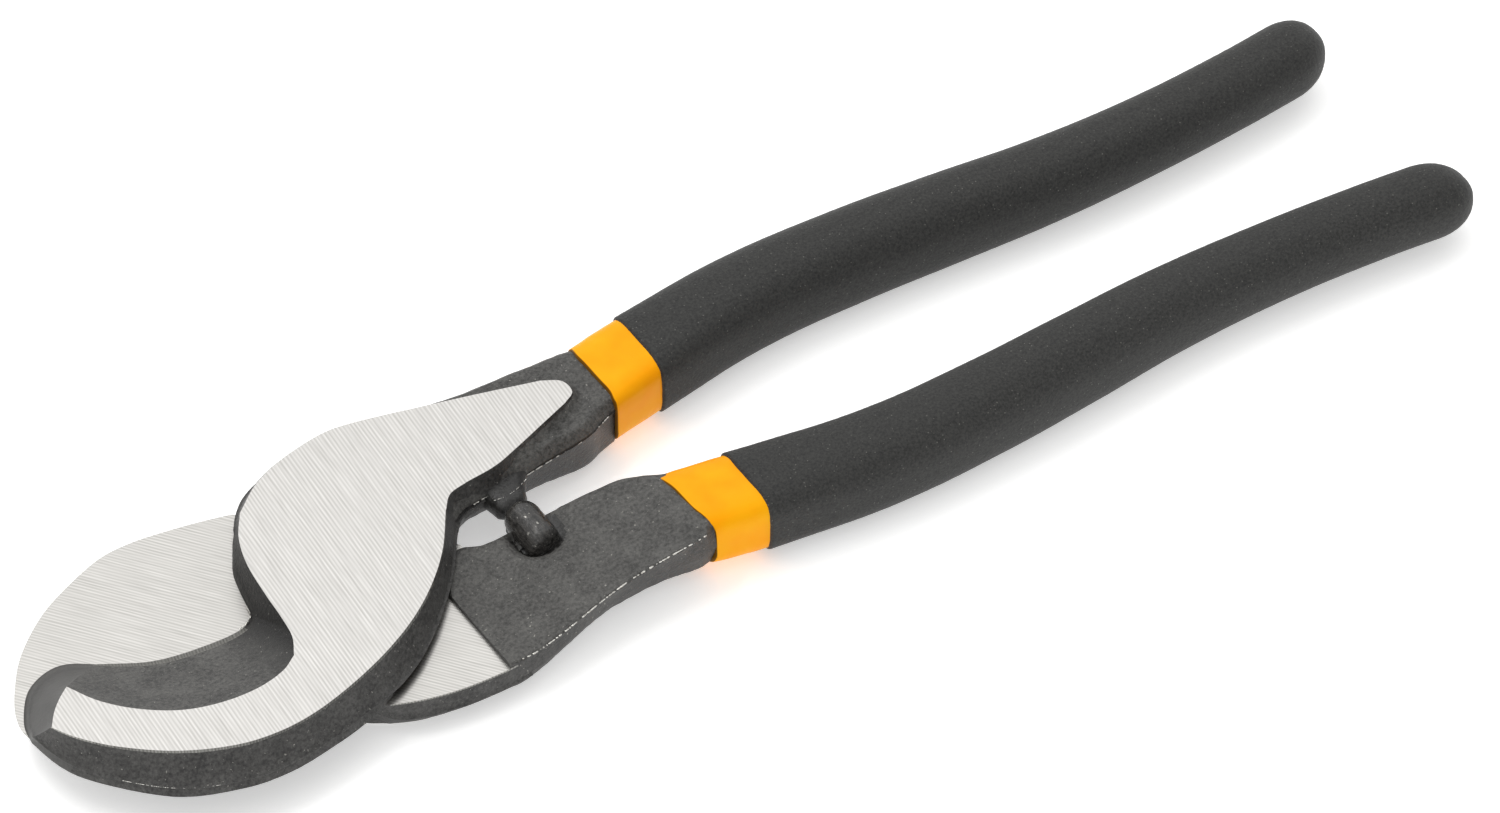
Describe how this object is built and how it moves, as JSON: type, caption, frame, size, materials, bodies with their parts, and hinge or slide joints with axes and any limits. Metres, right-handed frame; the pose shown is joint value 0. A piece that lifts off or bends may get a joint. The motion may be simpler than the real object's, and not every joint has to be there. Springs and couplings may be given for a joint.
{
  "type": "cable cutter",
  "caption": "Hand-held shear-type cable cutter: forged hook jaw and flat blade turning on a flush pivot pin, stop lugs behind the jaws and dipped soft grips.",
  "frame": {"origin": "on the pivot axis, at the ground back face of the rear lever, which is level with the lowest points of the grips", "axes": "+X along the tool towards the handles, +Y towards the front lever's handle, +Z out of the front face along the pivot"},
  "size_m": [0.2506, 0.0552, 0.0144],
  "materials": {
    "forged_steel": "drop forged steel, blackened scale on the forged sides, faces and jaws surface ground bright",
    "pin_steel": "turned steel, head ground flush",
    "inner_dip": "smooth dipped vinyl coat, amber",
    "outer_grip": "thick soft dipped grip, dark charcoal, finely foamed matt skin"
  },
  "bodies": {
    "rear_half": {"rear_lever": "forged_steel", "lower_inner_dip": "inner_dip", "lower_grip": "outer_grip"},
    "front_half": {"front_lever": "forged_steel", "pivot_pin": "pin_steel", "upper_inner_dip": "inner_dip", "upper_grip": "outer_grip"}
  },
  "joints": [
    {"name": "pivot", "type": "hinge", "parent": "rear_half", "child": "front_half", "pos_m": [0, 0, 0.007], "axis": [0, 0, 1], "range_deg": [0, 40]}
  ]
}
